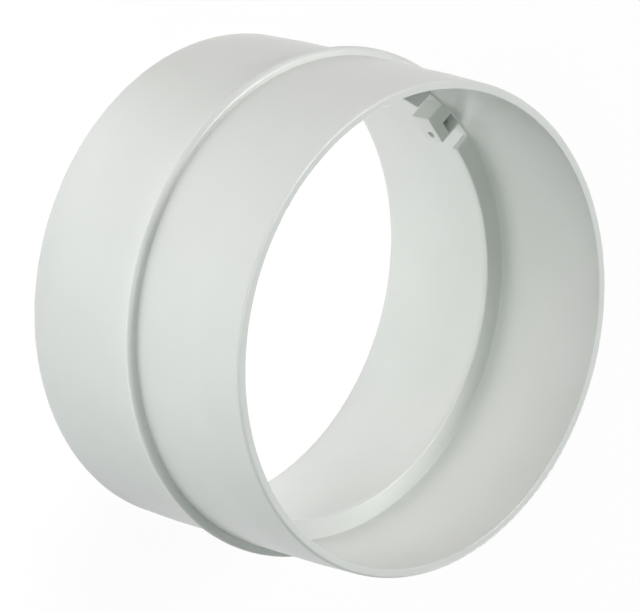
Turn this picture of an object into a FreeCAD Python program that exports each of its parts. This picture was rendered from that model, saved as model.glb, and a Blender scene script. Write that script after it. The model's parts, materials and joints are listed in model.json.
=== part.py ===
"""Round duct connector: a short plastic tube that joins two lengths of round duct.

The part is one moulding. It stands on its lower rim with its axis along +Z. A stop rib runs round the
outside at mid-length, with a spigot above it and one below, and a duct slides over each spigot up to
the rib. Inside, a thin flange near the rib is the seat for a backdraft flap. The flap's axle would lie
along X, a little way from the tube's axis towards +Y. At each end of it a knuckle, with a slot through
the seat on both its sides, has a hole for the axle and a pocket behind the hole for the axle's end.
Sizes are in millimetres.
"""
import FreeCAD
import Part
import math
import os

# Tube
overall_length = 60.3
rim_radius = 49.5
lead_in_rise = 0.3        # from the rim out to the full spigot
lead_in_length = 10.0     # of the gentle taper behind each rim
lead_in_blend = 20.0      # radius where the taper runs into the spigot
upper_wall = 1.8          # at the upper rim
lower_wall = 2.2          # at the lower rim
rim_rounding = 0.5        # along the outer edge of each rim
bore_rounding = 0.2       # along the inner edge of each rim

# Stop rib, at the middle of the tube's length
rib_thickness = 2.0
rib_height = 1.7          # above the spigots
rib_rounding = 0.95       # along both edges of its crest, so that it is almost half round

# Flap seat, a flange inside the tube
seat_rise = 2.3           # of its upper face above the middle of the tube
seat_thickness = 1.5
seat_width = 4.1          # from the upper bore inwards
seat_rounding = 0.3       # along both edges of its inner face

# Where the rib and the seat meet the tube
root_rounding = 0.1

# Knuckles for the flap's axle, one at each end of it
axle_offset = 6.3         # from the tube's axis to the axle, along Y
axle_drop = 2.1           # from the seat's upper face down to the axle
axle_hole_radius = 0.8
pocket_width = 2.8        # along Y
pocket_reach = 3.2        # from the lower bore inwards, along X
pocket_depth = 4.2        # down from the seat's upper face
inner_wall = 2.6          # between the pocket and the inside of the tube
near_wall = 0.5           # between the pocket and the slot nearer to the tube's axis
far_wall = 3.4            # between the pocket and the other slot
floor_wall = 0.7          # below the pocket
knuckle_rounding = 0.25
slot_width = 3.9          # along Y, on both sides of a knuckle

# How far a cutting block runs past the faces that it opens
overrun = 1.0

# The largest share of a wall that the rounding on one of its edges may take
rounding_share = 0.4
crest_share = 0.48        # of the rib's thickness, at its crest

origin = FreeCAD.Vector(0, 0, 0)
up = FreeCAD.Vector(0, 0, 1)
across = FreeCAD.Vector(1, 0, 0)

middle = overall_length / 2
spigot_radius = rim_radius + lead_in_rise
upper_bore = rim_radius - upper_wall
lower_bore = rim_radius - lower_wall

rib_radius = spigot_radius + rib_height
rib_bottom = middle - rib_thickness / 2
rib_top = middle + rib_thickness / 2

seat_top = middle + seat_rise
seat_bottom = seat_top - seat_thickness
seat_radius = upper_bore - seat_width

pocket_face = lower_bore - pocket_reach
pocket_start = axle_offset - pocket_width / 2
pocket_end = axle_offset + pocket_width / 2
pocket_floor = seat_top - pocket_depth
knuckle_face = pocket_face - inner_wall
knuckle_start = pocket_start - near_wall
knuckle_end = pocket_end + far_wall
knuckle_bottom = pocket_floor - floor_wall
knuckle_root = upper_bore + upper_wall / 2


def rounded_outline(corners):
    """Closed wire in the XZ plane through corners (x, z, rounding), with a tangent arc at each corner."""
    points = [FreeCAD.Vector(x, 0, z) for x, z, rounding in corners]
    arcs = []
    for index, corner in enumerate(points):
        rounding = corners[index][2]
        back = (points[index - 1] - corner).normalize()
        ahead = (points[(index + 1) % len(points)] - corner).normalize()
        half_angle = back.getAngle(ahead) / 2
        trim = rounding / math.tan(half_angle)
        inset = rounding / math.sin(half_angle) - rounding
        bisector = (back + ahead).normalize()
        arcs.append((corner + back * trim, corner + bisector * inset, corner + ahead * trim))
    edges = []
    for index, (start, crown, end) in enumerate(arcs):
        last_end = arcs[index - 1][2]
        edges.append(Part.LineSegment(last_end, start).toShape())
        edges.append(Part.Arc(start, crown, end).toShape())
    return Part.Wire(edges)


def tube():
    """The tube with its rib and a full ring of flap seat, one section turned round the axis."""
    upper_rim = min(rim_rounding, upper_wall * rounding_share)
    lower_rim = min(rim_rounding, lower_wall * rounding_share)
    upper_mouth = min(bore_rounding, upper_wall * rounding_share)
    lower_mouth = min(bore_rounding, lower_wall * rounding_share)
    rib_edge = min(rib_rounding, rib_thickness * crest_share, 2 * rib_height * rounding_share)
    seat_edge = min(seat_rounding, seat_thickness * rounding_share, seat_width * rounding_share)
    root = min(root_rounding, (rib_height - rib_edge) * rounding_share, seat_width * rounding_share)
    section = rounded_outline([
        (lower_bore, 0, lower_mouth),
        (rim_radius, 0, lower_rim),
        (spigot_radius, lead_in_length, lead_in_blend),
        (spigot_radius, rib_bottom, root),
        (rib_radius, rib_bottom, rib_edge),
        (rib_radius, rib_top, rib_edge),
        (spigot_radius, rib_top, root),
        (spigot_radius, overall_length - lead_in_length, lead_in_blend),
        (rim_radius, overall_length, upper_rim),
        (upper_bore, overall_length, upper_mouth),
        (upper_bore, seat_top, root),
        (seat_radius, seat_top, seat_edge),
        (seat_radius, seat_bottom, seat_edge),
        (lower_bore, seat_bottom, root),
    ])
    return Part.Face(section).revolve(origin, up, 360)


def block_in_tube(face, start, end, bottom, top, radius):
    """Block from the plane x = face out to a radius, between two places along Y and two heights."""
    corner = FreeCAD.Vector(face, start, bottom)
    block = Part.makeBox(radius - face, end - start, top - bottom, corner)
    return block.common(Part.makeCylinder(radius, top - bottom, FreeCAD.Vector(0, 0, bottom)))


def seat_break():
    """What the seat loses at one knuckle: the knuckle's own place and the slot on each side of it."""
    start = knuckle_start - slot_width
    end = knuckle_end + slot_width
    return block_in_tube(0, start, end, seat_bottom - overrun, seat_top + overrun, lower_bore)


def knuckle():
    """Block on the wall that reaches further in than the seat, with a pocket that is open upwards."""
    block = block_in_tube(knuckle_face, knuckle_start, knuckle_end, knuckle_bottom, seat_top, knuckle_root)
    pocket = block_in_tube(pocket_face, pocket_start, pocket_end, pocket_floor, seat_top + overrun, lower_bore)
    shaped = block.cut(pocket)
    rounding = min(knuckle_rounding, near_wall * rounding_share)
    rounded = shaped.makeFillet(rounding, [edge for edge in shaped.Edges if is_open_rim(edge)])
    return rounded.cut(axle_hole())


def is_open_rim(edge):
    """Does this edge bound the knuckle's upper face on the side of a slot, the pocket or the tube's axis?"""
    centre = edge.CenterOfMass
    at_top = abs(centre.z - seat_top) < knuckle_rounding / 2
    return at_top and math.hypot(centre.x, centre.y) < lower_bore - knuckle_rounding


def axle_hole():
    """Round hole along X from the inside of the tube into the pocket."""
    start = FreeCAD.Vector(knuckle_face - overrun, axle_offset, seat_top - axle_drop)
    return Part.makeCylinder(axle_hole_radius, inner_wall + 2 * overrun, start, across)


def at_both_ends(shape):
    """A shape at one end of the axle, and its mirror image at the other end."""
    return [shape, shape.mirror(origin, across)]


def connector_body():
    """The whole moulding."""
    broken = tube().cut(at_both_ends(seat_break()))
    return broken.fuse(at_both_ends(knuckle())).removeSplitter()


os.makedirs("parts", exist_ok=True)
connector_body().exportStep("parts/connector_body.step")
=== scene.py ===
"""Looks of the round duct connector: its moulded body, its plastic and a plain stage with a camera.

The body is one closed surface on a grid of two parameters. One parameter runs along the section of the
tube's wall, from the lower rim up the outside, over the upper rim and down the inside. The other runs
round the tube. Where the flap's axle ends at a knuckle, the columns of the grid are planes across the
axle's direction, so that slots, pocket and knuckle get straight sides.
"""
import json
import math
import bmesh
import bpy
import numpy as np
from mathutils import Matrix, Vector


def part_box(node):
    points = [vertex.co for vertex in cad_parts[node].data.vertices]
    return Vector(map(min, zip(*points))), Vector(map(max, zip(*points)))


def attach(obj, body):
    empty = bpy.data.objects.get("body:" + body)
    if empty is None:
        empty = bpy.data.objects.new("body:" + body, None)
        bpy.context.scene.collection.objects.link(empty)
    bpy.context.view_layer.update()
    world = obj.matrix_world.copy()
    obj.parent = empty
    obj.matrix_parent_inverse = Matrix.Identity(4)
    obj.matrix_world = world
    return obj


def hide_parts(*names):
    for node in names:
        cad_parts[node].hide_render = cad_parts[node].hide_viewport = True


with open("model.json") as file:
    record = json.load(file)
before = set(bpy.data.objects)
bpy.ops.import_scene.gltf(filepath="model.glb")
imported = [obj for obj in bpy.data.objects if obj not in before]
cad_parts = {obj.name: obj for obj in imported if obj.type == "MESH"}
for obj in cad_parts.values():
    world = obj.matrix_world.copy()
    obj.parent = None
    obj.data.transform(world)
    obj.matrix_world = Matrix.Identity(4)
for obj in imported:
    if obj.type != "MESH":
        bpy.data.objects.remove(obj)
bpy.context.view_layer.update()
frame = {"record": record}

bl_info = {
    "name": "Round duct connector",
    "version": (1, 0, 0),
    "blender": (4, 5, 0),
    "location": "3D View > Sidebar > Connector",
    "description": "Builds a moulded plastic duct connector and the stage that it stands on",
    "category": "Object",
}

MM = 0.001
LOWEST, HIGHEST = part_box("connector_body")
MOUNTS = {mount["name"]: mount for mount in frame["record"]["mounts"]}
SPIGOT_RADIUS = MOUNTS["upper_spigot"]["dims"]["r_mm"] * MM

# What a column of the grid cuts through
SEAT, SLOT, KNUCKLE, POCKET = range(4)

# Steps of the grid: on a rounded corner, on the run to the next corner, on a rounded end and round the tube
CORNER_STEPS = 5
RUN_STEPS = 5
EDGE_STEPS = 4
COLUMN_ANGLE = math.radians(1.1)

# Inset of the extra section in a rounded end face, as a multiple of its rounding
FACE_INSET = 1.5

# Sides of the rod that cuts the axle holes
ROD_SIDES = 48

# How far past the slots the columns stay planes, and the angle over which they then turn radial
PLANE_MARGIN = 1.0 * MM
FADE_ANGLE = math.radians(30)

# Width of the camera's sensor in millimetres
SENSOR_WIDTH = 36

# Points closer than this are one point of the mesh
MERGE_DISTANCE = 0.0002 * MM

# Edges that turn by more than this are shaded as sharp ones
SHARP_ANGLE = math.radians(35)

# Values between which nearly all of the noise for the clouds lies
CLOUD_RANGE = (0.3, 0.7)

# Soft lamps: azimuth round +Z from +X and elevation above the floor in degrees, power in watts, colour
LAMPS = {
    "key_softbox": (135, 40, 3.9, "#F2FFF8"),
    "side_softbox": (86, 22, 2.9, "#FFF0F1"),
    "back_softbox": (0, 66, 8.5, "#FFFFFF"),
    "fill_softbox": (290, 12, 4.0, "#FFFFFF"),
}


def length(name, description, default):
    """Length property in metres."""
    return bpy.props.FloatProperty(
        name=name, description=description, default=default, min=0, precision=5, unit="LENGTH")


def fraction(name, description, default):
    """Number property from 0 to 1."""
    return bpy.props.FloatProperty(
        name=name, description=description, default=default, min=0, max=1, subtype="FACTOR")


def bearing(name, description, degrees):
    """Angle property, given in degrees."""
    return bpy.props.FloatProperty(
        name=name, description=description, default=math.radians(degrees), subtype="ANGLE")


def linear(hex_colour):
    """Linear red, green and blue of an sRGB colour written as #RRGGBB."""
    shares = np.array([int(hex_colour[place:place + 2], 16) for place in (1, 3, 5)]) / 255
    return tuple(np.where(shares <= 0.04045, shares / 12.92, ((shares + 0.055) / 1.055) ** 2.4))


def colour(name, description, hex_colour):
    """Colour property from an sRGB colour."""
    return bpy.props.FloatVectorProperty(
        name=name, description=description, default=linear(hex_colour), subtype="COLOR", min=0, max=1)


class ConnectorSizes(bpy.types.PropertyGroup):
    """Sizes of the moulding."""

    overall_length: length("Length", "From the lower rim to the upper rim", HIGHEST.z - LOWEST.z)
    spigot_radius: length("Spigot radius", "Outside radius that a duct slides over", SPIGOT_RADIUS)
    rib_radius: length("Rib radius", "Outside radius of the stop rib", HIGHEST.y)
    rib_thickness: length("Rib thickness", "Along the tube", 2.0 * MM)
    rib_rounding: length("Rib rounding", "Both edges of the rib's crest", 0.95 * MM)
    root_rounding: length("Root rounding", "Where the rib and the seat meet the tube", 0.1 * MM)
    lead_in_rise: length("Lead-in rise", "From a rim out to the spigot's radius", 0.3 * MM)
    lead_in_length: length("Lead-in length", "Gentle taper behind each rim", 10.0 * MM)
    upper_wall: length("Upper wall", "Wall at the upper rim", 1.8 * MM)
    lower_wall: length("Lower wall", "Wall at the lower rim", 2.2 * MM)
    rim_rounding: length("Rim rounding", "Outer edge of each rim", 0.5 * MM)
    bore_rounding: length("Bore rounding", "Inner edge of each rim", 0.2 * MM)
    seat_rise: length("Seat rise", "Seat's upper face above the middle of the tube", 2.3 * MM)
    seat_thickness: length("Seat thickness", "Along the tube", 1.5 * MM)
    seat_width: length("Seat width", "From the upper bore inwards", 4.1 * MM)
    seat_rounding: length("Seat rounding", "Both edges of the seat's inner face", 0.3 * MM)
    axle_offset: length("Axle offset", "From the tube's axis to the flap's axle", 6.3 * MM)
    axle_drop: length("Axle drop", "From the seat's upper face down to the axle", 2.1 * MM)
    axle_hole_radius: length("Axle hole radius", "Hole for the axle in each knuckle", 0.8 * MM)
    pocket_width: length("Pocket width", "Across the axle", 2.8 * MM)
    pocket_reach: length("Pocket reach", "From the lower bore inwards", 3.2 * MM)
    pocket_depth: length("Pocket depth", "Down from the seat's upper face", 4.2 * MM)
    inner_wall: length("Knuckle inner wall", "Between the pocket and the inside of the tube", 2.6 * MM)
    near_wall: length("Knuckle near wall", "Beside the pocket, nearer to the tube's axis", 0.5 * MM)
    far_wall: length("Knuckle far wall", "Beside the pocket, away from the tube's axis", 3.4 * MM)
    floor_wall: length("Knuckle floor", "Below the pocket", 0.7 * MM)
    knuckle_rounding: length("Knuckle rounding", "Edges of the knuckles and seat ends", 0.2 * MM)
    slot_width: length("Slot width", "Gap in the seat on each side of a knuckle", 3.9 * MM)


class ConnectorFinish(bpy.types.PropertyGroup):
    """Colour and surface of the plastic."""

    plastic: colour("Plastic", "Main colour of the moulding", "#E0E3E0")
    plastic_shade: colour("Plastic shade", "Colour of the faint clouds in it", "#D9DCD9")
    roughness: fraction("Roughness", "Mean roughness of the moulded skin", 0.3)
    sheen_change: fraction("Sheen change", "How far the clouds raise and lower the roughness", 0.02)
    cloud_size: length("Cloud size", "Width of the faint clouds of colour", 14.0 * MM)
    grain_size: length("Grain size", "Width of the mould's fine grain", 0.4 * MM)
    grain_height: length("Grain height", "Height of the mould's fine grain", 0.004 * MM)


class StageSettings(bpy.types.PropertyGroup):
    """Floor, light and camera."""

    floor: colour("Floor", "Colour of the floor", "#F6F6F4")
    floor_size: length("Floor size", "Side of the square floor", 6.0)
    glow_in_tube: colour("Glow in the tube", "Light that comes up through the floor in the tube", "#E1DBDF")
    glow_in_front: colour("Glow in front", "Light that comes up through the floor in front", "#E0E0E5")
    glow_radius: length("Glow radius", "Where the glow in the tube ends", 46.0 * MM)
    glow_fade: length("Glow fade", "Distance from there to the full glow in front", 6.0 * MM)
    front_azimuth: bearing("Front", "Middle of the glow in front, round +Z from +X", 138)
    front_full: bearing("Full front", "Angle from the middle up to which the glow in front is full", 30)
    front_end: bearing("End of front", "Angle from the middle at which the glow in front has faded out", 70)
    floor_white: fraction("Floor white", "Share of plain white in what the camera sees of the floor", 0.95)
    lamp_distance: length("Lamp distance", "From each lamp to the middle of the connector", 1.2)
    lamp_size: length("Lamp size", "Side of each square lamp", 0.45)
    camera_lens: bpy.props.FloatProperty(
        name="Lens", description="Focal length on a 36 mm wide sensor, in millimetres", default=373.7)
    camera_aim: bpy.props.FloatVectorProperty(
        name="Aim", description="Point at the middle of the picture", unit="LENGTH", precision=5,
        default=(-0.69 * MM, -0.29 * MM, 30.02 * MM))
    camera_distance: length("Distance", "From the camera to that point", 1318.6 * MM)
    camera_azimuth: bearing("Azimuth", "Of the camera round +Z from +X", 123.375)
    camera_elevation: bearing("Elevation", "Of the camera above the floor", 45.328)
    camera_roll: bearing("Roll", "Turn of the picture about the line of sight", 104.778)


def heights(sizes):
    """Heights of the rib, the seat, the pocket's floor and the knuckle's underside."""
    middle = sizes.overall_length / 2
    seat_top = middle + sizes.seat_rise
    pocket_floor = seat_top - sizes.pocket_depth
    return {
        "rib_bottom": middle - sizes.rib_thickness / 2,
        "rib_top": middle + sizes.rib_thickness / 2,
        "seat_top": seat_top,
        "seat_bottom": seat_top - sizes.seat_thickness,
        "pocket_floor": pocket_floor,
        "knuckle_bottom": pocket_floor - sizes.floor_wall,
    }


def reaches(sizes):
    """Radii of the rims, bores and seat, and distances of the knuckle's flat faces from the YZ plane."""
    rim = sizes.spigot_radius - sizes.lead_in_rise
    upper_bore = rim - sizes.upper_wall
    lower_bore = rim - sizes.lower_wall
    pocket_face = lower_bore - sizes.pocket_reach
    return {
        "rim": rim,
        "upper_bore": upper_bore,
        "lower_bore": lower_bore,
        "seat": upper_bore - sizes.seat_width,
        "pocket_face": pocket_face,
        "knuckle_face": pocket_face - sizes.inner_wall,
    }


def edges_along_y(sizes):
    """Where the seat ends, and where the knuckle and its pocket begin and end, in order along +Y."""
    pocket_start = sizes.axle_offset - sizes.pocket_width / 2
    pocket_end = sizes.axle_offset + sizes.pocket_width / 2
    knuckle_start = pocket_start - sizes.near_wall
    knuckle_end = pocket_end + sizes.far_wall
    return [knuckle_start - sizes.slot_width, knuckle_start, pocket_start,
            pocket_end, knuckle_end, knuckle_end + sizes.slot_width]


def rounded_edge(rounding):
    """Distances from a rounded end face, and how far the section there lies inside the full section.

    A quarter circle: at distance r(1 - cos a) the section is inset by r(1 - sin a). Before it comes one
    more section in the end face itself, inset a little further, which keeps the face's shading flat.
    """
    angle = np.linspace(0, math.pi / 2, EDGE_STEPS + 1)
    distance = rounding * (1 - np.cos(angle))
    inset = rounding * (1 - np.sin(angle))
    return np.append(0, distance), np.append(FACE_INSET * rounding, inset)


def columns(sizes):
    """Columns of the grid round half of the tube, from -Y through +X to +Y: angle, kind and inset of each.

    The angle of a column is that of the point where it meets the lower bore.
    """
    bore = reaches(sizes)["lower_bore"]
    quarter = math.pi / 2
    bounds = [-quarter, *np.arcsin(np.array(edges_along_y(sizes)) / bore), quarter]
    distance, inset = rounded_edge(sizes.knuckle_rounding)
    kinds = [SEAT, SLOT, KNUCKLE, POCKET, KNUCKLE, SLOT, SEAT]
    rounded_starts = [False, False, True, False, False, False, True]
    rounded_ends = [True, False, False, False, True, False, False]
    angles = []
    insets = []
    for kind, first, last, starts, ends in zip(kinds, bounds, bounds[1:], rounded_starts, rounded_ends):
        lead = np.arcsin(np.sin(first) + distance / bore) if starts else np.array([first])
        tail = np.arcsin(np.sin(last) - distance / bore)[::-1] if ends else np.array([last])
        count = max(2, math.ceil((tail[0] - lead[-1]) / COLUMN_ANGLE) + 1)
        angles.append(np.concatenate([lead, np.linspace(lead[-1], tail[0], count)[1:-1], tail]))
        insets.append(np.concatenate([
            inset if starts else [0],
            np.zeros(count - 2),
            inset[::-1] if ends else [0]]))
    kind_of = np.repeat(kinds, [len(run) for run in angles])
    return np.concatenate(angles), kind_of, np.concatenate(insets)


def between(first, last, shares):
    """Points at shares of the way from first to last, in a new last axis."""
    return first[:, None] + (last - first)[:, None] * np.array(shares)


def feature_corners(sizes, kind, inset, across):
    """The nine corners of the section on the inside, from the upper bore to the lower bore.

    Radius, height and setback of each corner at every column. A flat face at the distance d from the YZ
    plane has the radius hypot(d, y) in the column at y. Corners that a kind of column doesn't need lie
    on the straight run between their neighbours. Those on the bores are the same in every column.
    """
    reach = reaches(sizes)
    height = heights(sizes)
    level = np.ones_like(across)
    upper = reach["upper_bore"] * level
    lower = reach["lower_bore"] * level
    seat = reach["seat"] + inset
    pocket_face = np.hypot(reach["pocket_face"], across)
    knuckle_face = np.hypot(reach["knuckle_face"] + inset, across)
    under_knuckle = (knuckle_face + lower) / 2
    seat_top = height["seat_top"] * level
    seat_root = height["seat_bottom"] * level
    knuckle_root = height["knuckle_bottom"] * level
    floor = height["pocket_floor"] * level
    top = seat_top - inset
    seat_bottom = seat_root + inset
    knuckle_bottom = knuckle_root + inset
    on_seat = between(lower, seat, (0.25, 0.5, 0.75)).T
    on_knuckle = between(lower, pocket_face, (0.3, 0.7, 1.0)).T
    on_wall = between(seat_top, seat_root, (0.2, 0.35, 0.5, 0.65, 0.8)).T
    radius = {
        SEAT: [upper, lower, *on_seat, seat, seat, lower, lower],
        SLOT: [upper, lower, lower, lower, lower, lower, lower, lower, lower],
        KNUCKLE: [upper, lower, *on_knuckle, knuckle_face, knuckle_face, under_knuckle, lower],
        POCKET: [upper, lower, lower, pocket_face, pocket_face,
                 knuckle_face, knuckle_face, under_knuckle, lower],
    }
    level_of = {
        SEAT: [seat_top, seat_top, top, top, top, top, seat_bottom, seat_root, knuckle_root],
        SLOT: [seat_top, seat_top, *on_wall, seat_root, knuckle_root],
        KNUCKLE: [seat_top, seat_top, top, top, top, top, knuckle_bottom, knuckle_bottom, knuckle_root],
        POCKET: [seat_top, seat_top, floor, floor, top, top, knuckle_bottom, knuckle_bottom, knuckle_root],
    }
    edge = sizes.knuckle_rounding
    fine = edge / 2
    root = sizes.root_rounding
    setback = {
        SEAT: [root, fine, fine, fine, fine, sizes.seat_rounding, sizes.seat_rounding, root, edge],
        SLOT: [root, fine, fine, fine, fine, fine, fine, root, edge],
        KNUCKLE: [root, fine, fine, fine, edge, edge, edge, edge, edge],
        POCKET: [root, fine, edge, edge, edge, edge, edge, edge, edge],
    }
    order = (SEAT, SLOT, KNUCKLE, POCKET)
    here = [kind[:, None] == each for each in order]
    return (
        np.select(here, [np.stack(radius[each], axis=1) for each in order]),
        np.select(here, [np.stack(level_of[each], axis=1) for each in order]),
        np.select(here, [np.tile(setback[each], (len(across), 1)) for each in order]),
    )


def tube_corners(sizes):
    """The ten corners of the section that are the same all round, from the lower rim to the upper rim."""
    reach = reaches(sizes)
    height = heights(sizes)
    top = sizes.overall_length
    spigot = sizes.spigot_radius
    return np.array([
        (reach["lower_bore"], 0, sizes.bore_rounding),
        (reach["rim"], 0, sizes.rim_rounding),
        (spigot, sizes.lead_in_length, sizes.lead_in_rise),
        (spigot, height["rib_bottom"], sizes.root_rounding),
        (sizes.rib_radius, height["rib_bottom"], sizes.rib_rounding),
        (sizes.rib_radius, height["rib_top"], sizes.rib_rounding),
        (spigot, height["rib_top"], sizes.root_rounding),
        (spigot, top - sizes.lead_in_length, sizes.lead_in_rise),
        (reach["rim"], top, sizes.rim_rounding),
        (reach["upper_bore"], top, sizes.bore_rounding),
    ]).T


def unit(vectors):
    """Vectors of length one along the last axis."""
    return vectors / np.linalg.norm(vectors, axis=-1, keepdims=True)


def eased(steps):
    """Shares from 0 to 1 that lie closer together near both ends: (1 - cos(pi t)) / 2."""
    return (1 - np.cos(math.pi * np.arange(steps + 1) / steps)) / 2


def rounded_outline(corner, setback):
    """Closed outlines with round corners, from arrays (column, corner, 2) and (column, corner).

    Each corner P becomes an arc from P + s b to P + s a, where b and a point to its neighbours and s is
    its setback: the rational quadratic curve with P as its middle control point and the cosine of half
    the turn as its weight, which is a true arc. A straight run goes on to the next corner's arc.
    """
    back = unit(np.roll(corner, 1, axis=1) - corner)
    ahead = unit(np.roll(corner, -1, axis=1) - corner)
    first = (corner + back * setback[..., None])[:, :, None]
    last = (corner + ahead * setback[..., None])[:, :, None]
    weight = np.sqrt((1 - (back * ahead).sum(axis=-1)).clip(0, 2) / 2)[:, :, None, None]
    t = eased(CORNER_STEPS)[:, None]
    start_share = (1 - t) ** 2
    middle_share = 2 * t * (1 - t) * weight
    end_share = t ** 2
    arc = start_share * first + middle_share * corner[:, :, None] + end_share * last
    arc = arc / (start_share + middle_share + end_share)
    run = last + (np.roll(first, -1, axis=1) - last) * eased(RUN_STEPS)[1:-1, None]
    return np.concatenate([arc, run], axis=2).reshape(len(corner), -1, 2)


def turned(sizes, angle, radius):
    """Angle of a point of a column at a radius.

    Near the knuckle a column is the plane y = bore sin(angle), so the point lies at asin(y / radius).
    Further round, the difference between that and the column's own angle fades to nothing.
    """
    bore = reaches(sizes)["lower_bore"]
    edges = edges_along_y(sizes)
    nearest = np.clip(
        angle,
        math.asin((edges[0] - PLANE_MARGIN) / bore),
        math.asin((edges[-1] + PLANE_MARGIN) / bore))[:, None]
    share = np.clip(1 - np.abs(angle[:, None] - nearest) / FADE_ANGLE, 0, 1)
    lean = np.arcsin(bore * np.sin(nearest) / radius) - nearest
    return angle[:, None] + share ** 2 * (3 - 2 * share) * lean


def body_grid(sizes):
    """Points of the whole body as an array (column, point of the section, 3), closed both ways.

    The half on the +X side comes from its columns, and the other half is its mirror image.
    """
    angle, kind, inset = columns(sizes)
    across = reaches(sizes)["lower_bore"] * np.sin(angle)
    radius, height, setback = feature_corners(sizes, kind, inset, across)
    tube_radius, tube_height, tube_setback = (np.tile(row, (len(angle), 1)) for row in tube_corners(sizes))
    corner = np.stack([np.hstack([tube_radius, radius]), np.hstack([tube_height, height])], axis=-1)
    outline = rounded_outline(corner, np.hstack([tube_setback, setback]))
    reach = outline[..., 0]
    turn = turned(sizes, angle, reach)
    half = np.stack([reach * np.cos(turn), reach * np.sin(turn), outline[..., 1]], axis=-1)
    return np.concatenate([half, half[::-1] * (-1, 1, 1)])


def closed_grid_mesh(name, points):
    """Mesh of quads on a grid (column, row, 3) that closes both ways, with its doubled points merged."""
    around, along = points.shape[:2]
    index = np.arange(around * along).reshape(around, along)
    beside = np.roll(index, -1, axis=0)
    quads = np.stack([index, beside, np.roll(beside, -1, axis=1), np.roll(index, -1, axis=1)], axis=-1)
    mesh = bpy.data.meshes.new(name)
    mesh.from_pydata(points.reshape(-1, 3), [], quads.reshape(-1, 4))
    editable = bmesh.new()
    editable.from_mesh(mesh)
    bmesh.ops.remove_doubles(editable, verts=editable.verts, dist=MERGE_DISTANCE)
    editable.to_mesh(mesh)
    editable.free()
    return mesh


def axle_rod(sizes):
    """Closed rod along X from pocket to pocket: the space that the two axle holes take.

    Points (x, y0 + r cos a, z0 + r sin a) on two circles, with a flat cap at each end.
    """
    reach = reaches(sizes)
    end = (reach["pocket_face"] + reach["lower_bore"]) / 2
    angle = np.linspace(0, 2 * math.pi, ROD_SIDES, endpoint=False)
    y = sizes.axle_offset + sizes.axle_hole_radius * np.cos(angle)
    z = heights(sizes)["seat_top"] - sizes.axle_drop + sizes.axle_hole_radius * np.sin(angle)
    ring = np.arange(ROD_SIDES)
    ahead = np.roll(ring, -1)
    sides = np.stack([ring, ring + ROD_SIDES, ahead + ROD_SIDES, ahead], axis=-1)
    points = np.concatenate([np.stack([np.full(ROD_SIDES, x), y, z], axis=-1) for x in (-end, end)])
    mesh = bpy.data.meshes.new("axle_rod")
    mesh.from_pydata(points, [], [*sides.tolist(), ring.tolist(), (ring + ROD_SIDES)[::-1].tolist()])
    editable = bmesh.new()
    editable.from_mesh(mesh)
    bmesh.ops.recalc_face_normals(editable, faces=editable.faces)
    editable.to_mesh(mesh)
    editable.free()
    return mesh


def add_object(name, data):
    """Object at the origin with its data, such as a mesh or a lamp, linked to the scene."""
    made = bpy.data.objects.new(name, data)
    bpy.context.scene.collection.objects.link(made)
    return made


def cut(piece, tool):
    """Take the tool's space out of a piece for good, and remove the tool."""
    modifier = piece.modifiers.new("cut", "BOOLEAN")
    modifier.operation = "DIFFERENCE"
    modifier.solver = "EXACT"
    modifier.object = tool
    whole = piece.data
    piece.data = bpy.data.meshes.new_from_object(piece.evaluated_get(bpy.context.evaluated_depsgraph_get()))
    piece.modifiers.clear()
    bpy.data.objects.remove(tool)
    bpy.data.meshes.remove(whole)


def add_node(tree, kind, inputs, **settings):
    """Add a node with its settings, and give each of its inputs a value or a link from an output."""
    node = tree.nodes.new(kind)
    for name, value in settings.items():
        setattr(node, name, value)
    for name, value in inputs.items():
        if isinstance(value, bpy.types.NodeSocket):
            tree.links.new(value, node.inputs[name])
        else:
            node.inputs[name].default_value = value
    return node


def mixed(tree, share, first, second):
    """Socket with the mix of two colours, which is the first at a share of 0 and the second at 1.

    On a node that mixes colours, inputs 0, 6 and 7 are the share and the colours, and output 2 is the mix.
    """
    return add_node(tree, "ShaderNodeMix", {0: share, 6: first, 7: second}, data_type="RGBA").outputs[2]


def empty_material(name):
    """New material with an empty node tree, and that tree."""
    material = bpy.data.materials.new(name)
    material.use_nodes = True
    material.node_tree.nodes.clear()
    return material, material.node_tree


def moulded_plastic(finish):
    """Injection-moulded ABS, straight from a fine-grained mould and unpainted.

    To the eye it is a cool off-white with a soft sheen: broad highlights with blurred edges, hardly any
    change of colour over the surface, and a grain that only breaks up the highlights.
    """
    material, tree = empty_material("moulded_abs_off_white")
    place = add_node(tree, "ShaderNodeTexCoord", {}).outputs["Object"]
    clouds = add_node(tree, "ShaderNodeTexNoise", {
        "Vector": place, "Scale": 1 / finish.cloud_size, "Detail": 3.0, "Roughness": 0.5})
    tint = mixed(tree, clouds.outputs["Fac"], (*finish.plastic_shade, 1), (*finish.plastic, 1))
    grain = add_node(tree, "ShaderNodeTexNoise", {
        "Vector": place, "Scale": 1 / finish.grain_size, "Detail": 2.0, "Roughness": 0.6})
    bump = add_node(tree, "ShaderNodeBump", {
        "Height": grain.outputs["Fac"], "Distance": finish.grain_height, "Strength": 1.0})
    sheen = add_node(tree, "ShaderNodeMapRange", {
        "Value": clouds.outputs["Fac"], "From Min": CLOUD_RANGE[0], "From Max": CLOUD_RANGE[1],
        "To Min": finish.roughness - finish.sheen_change,
        "To Max": finish.roughness + finish.sheen_change})
    shader = add_node(tree, "ShaderNodeBsdfPrincipled", {
        "Base Color": tint, "Roughness": sheen.outputs["Result"],
        "Normal": bump.outputs["Normal"], "IOR": 1.53})
    add_node(tree, "ShaderNodeOutputMaterial", {"Surface": shader.outputs["BSDF"]})
    return material


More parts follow.
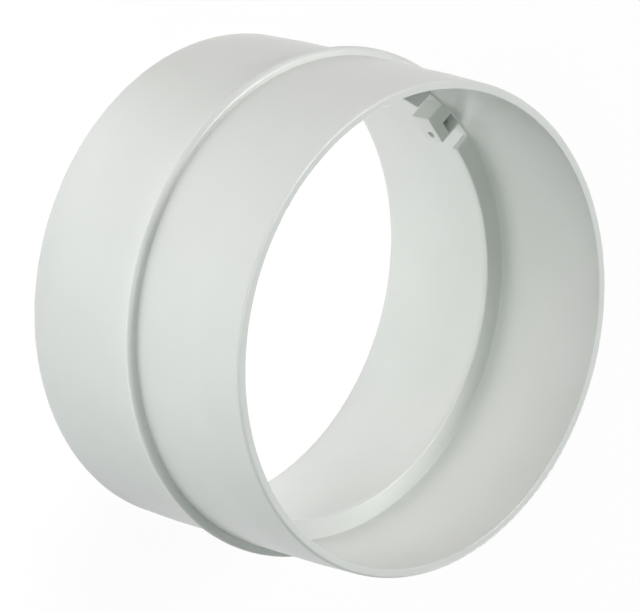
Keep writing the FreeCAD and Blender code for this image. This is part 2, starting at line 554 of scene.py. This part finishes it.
class CONNECTOR_OT_body(bpy.types.Operator):
    """Build the moulded body in place of its plain solid"""

    bl_idname = "connector.body"
    bl_label = "Moulded body"

    def execute(self, context):
        sizes = context.scene.connector_sizes
        body = add_object("moulded_body", closed_grid_mesh("moulded_body", body_grid(sizes)))
        cut(body, add_object("axle_rod", axle_rod(sizes)))
        body.data.shade_smooth()
        body.data.set_sharp_from_angle(angle=SHARP_ANGLE)
        body.data.materials.clear()
        body.data.materials.append(moulded_plastic(context.scene.connector_finish))
        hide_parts("connector_body")
        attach(body, "root")
        return {"FINISHED"}


def direction(azimuth, elevation):
    """Unit vector at an azimuth round +Z from +X and an elevation above the floor, in radians."""
    level = math.cos(elevation)
    return Vector((level * math.cos(azimuth), level * math.sin(azimuth), math.sin(elevation)))


def seen_directly(tree):
    """Socket that is 1 for what the camera sees, also in a reflection or through glass, and else 0."""
    path = add_node(tree, "ShaderNodeLightPath", {})
    seen = add_node(tree, "ShaderNodeMath", {
        0: path.outputs["Is Camera Ray"], 1: path.outputs["Is Glossy Ray"]}, operation="MAXIMUM")
    return add_node(tree, "ShaderNodeMath", {
        0: seen.outputs[0], 1: path.outputs["Is Transmission Ray"]}, operation="MAXIMUM").outputs[0]


def light_table(stage):
    """Matt opal acrylic sheet with a soft light below it, inside the tube and in front of it.

    To the eye it is white. A trace of the connector's shadow stays on it.
    """
    material, tree = empty_material("matt_opal_acrylic")
    white_share = add_node(tree, "ShaderNodeMath", {
        0: seen_directly(tree), 1: stage.floor_white}, operation="MULTIPLY")
    sheet = add_node(tree, "ShaderNodeBsdfDiffuse", {"Color": (*stage.floor, 1)})
    place = add_node(tree, "ShaderNodeTexCoord", {}).outputs["Object"]
    away = add_node(tree, "ShaderNodeVectorMath", {0: place}, operation="LENGTH")
    outside = add_node(tree, "ShaderNodeMapRange", {
        "Value": away.outputs["Value"], "From Min": stage.glow_radius,
        "From Max": stage.glow_radius + stage.glow_fade}, interpolation_type="SMOOTHSTEP")
    heading = add_node(tree, "ShaderNodeVectorMath", {0: place}, operation="NORMALIZE")
    facing = add_node(tree, "ShaderNodeVectorMath", {
        0: heading.outputs[0], 1: direction(stage.front_azimuth, 0)}, operation="DOT_PRODUCT")
    in_front = add_node(tree, "ShaderNodeMapRange", {
        "Value": facing.outputs["Value"], "From Min": math.cos(stage.front_end),
        "From Max": math.cos(stage.front_full)}, interpolation_type="SMOOTHSTEP")
    around = mixed(tree, in_front.outputs["Result"], (0, 0, 0, 1), (*stage.glow_in_front, 1))
    light = mixed(tree, outside.outputs["Result"], (*stage.glow_in_tube, 1), around)
    glow = add_node(tree, "ShaderNodeEmission", {"Color": light, "Strength": 1.0})
    lit_sheet = add_node(tree, "ShaderNodeAddShader", {0: sheet.outputs[0], 1: glow.outputs[0]})
    white = add_node(tree, "ShaderNodeEmission", {"Strength": 1.0})
    surface = add_node(tree, "ShaderNodeMixShader", {
        0: white_share.outputs[0], 1: lit_sheet.outputs[0], 2: white.outputs[0]})
    add_node(tree, "ShaderNodeOutputMaterial", {"Surface": surface.outputs[0]})
    return material


def add_floor(stage):
    """Square floor at the height that the connector stands on."""
    half = stage.floor_size / 2
    points = [(-half, -half, 0), (half, -half, 0), (half, half, 0), (-half, half, 0)]
    mesh = bpy.data.meshes.new("floor")
    mesh.from_pydata(points, [], [(0, 1, 2, 3)])
    floor = add_object("floor", mesh)
    mesh.materials.append(light_table(stage))


def add_lamp(stage, name, azimuth, elevation, power, tint):
    """Square soft lamp that faces the middle of the connector."""
    middle = (LOWEST + HIGHEST) / 2
    towards = direction(math.radians(azimuth), math.radians(elevation))
    light = bpy.data.lights.new(name, "AREA")
    light.shape = "SQUARE"
    light.size = stage.lamp_size
    light.energy = power
    light.color = linear(tint)
    lamp = add_object(name, light)
    lamp.location = middle + towards * stage.lamp_distance
    lamp.rotation_euler = towards.to_track_quat("Z", "Y").to_euler()


def add_world():
    """White surroundings that the camera sees and that give no light."""
    world = bpy.data.worlds.new("studio")
    world.use_nodes = True
    tree = world.node_tree
    tree.nodes.clear()
    white = add_node(tree, "ShaderNodeBackground", {"Color": (1, 1, 1, 1), "Strength": seen_directly(tree)})
    add_node(tree, "ShaderNodeOutputWorld", {"Surface": white.outputs[0]})
    bpy.context.scene.world = world


def add_camera(stage):
    """Camera at the photograph's viewing angle: it looks at the connector's middle and is rolled."""
    camera = bpy.data.cameras.new("camera")
    camera.sensor_fit = "HORIZONTAL"
    camera.sensor_width = SENSOR_WIDTH
    camera.lens = stage.camera_lens
    towards = direction(stage.camera_azimuth, stage.camera_elevation)
    turn = towards.to_track_quat("Z", "Y").to_matrix().to_4x4() @ Matrix.Rotation(stage.camera_roll, 4, "Z")
    place = Vector(stage.camera_aim) + towards * stage.camera_distance
    seen_from = add_object("camera", camera)
    seen_from.matrix_world = Matrix.Translation(place) @ turn
    bpy.context.scene.camera = seen_from


class CONNECTOR_OT_stage(bpy.types.Operator):
    """Add the floor, the lamps and the camera"""

    bl_idname = "connector.stage"
    bl_label = "Stage"

    def execute(self, context):
        stage = context.scene.connector_stage
        add_floor(stage)
        add_world()
        for name, (azimuth, elevation, power, tint) in LAMPS.items():
            add_lamp(stage, name, azimuth, elevation, power, tint)
        add_camera(stage)
        context.scene.view_settings.view_transform = "Standard"
        return {"FINISHED"}


class CONNECTOR_PT_panel(bpy.types.Panel):
    """Sizes, finish and stage of the connector"""

    bl_idname = "CONNECTOR_PT_panel"
    bl_label = "Duct connector"
    bl_space_type = "VIEW_3D"
    bl_region_type = "UI"
    bl_category = "Connector"

    def draw(self, context):
        for title, group, operator in (
                ("Sizes", context.scene.connector_sizes, None),
                ("Finish", context.scene.connector_finish, CONNECTOR_OT_body),
                ("Stage", context.scene.connector_stage, CONNECTOR_OT_stage)):
            box = self.layout.box()
            box.label(text=title)
            own = [each for each in group.bl_rna.properties.keys() if each not in ("rna_type", "name")]
            for name in own:
                box.prop(group, name)
            if operator:
                box.operator(operator.bl_idname)


GROUPS = {
    "connector_sizes": ConnectorSizes,
    "connector_finish": ConnectorFinish,
    "connector_stage": StageSettings,
}
CLASSES = (*GROUPS.values(), CONNECTOR_OT_body, CONNECTOR_OT_stage, CONNECTOR_PT_panel)


def register():
    """Register the classes and put the property groups on the scene."""
    for each in CLASSES:
        bpy.utils.register_class(each)
    for name, group in GROUPS.items():
        setattr(bpy.types.Scene, name, bpy.props.PointerProperty(type=group))


def unregister():
    """Take back what register did."""
    for name in GROUPS:
        delattr(bpy.types.Scene, name)
    for each in reversed(CLASSES):
        bpy.utils.unregister_class(each)


def main():
    """Build the connector and its stage."""
    register()
    bpy.ops.connector.body()
    bpy.ops.connector.stage()


if __name__ == "__main__":
    main()
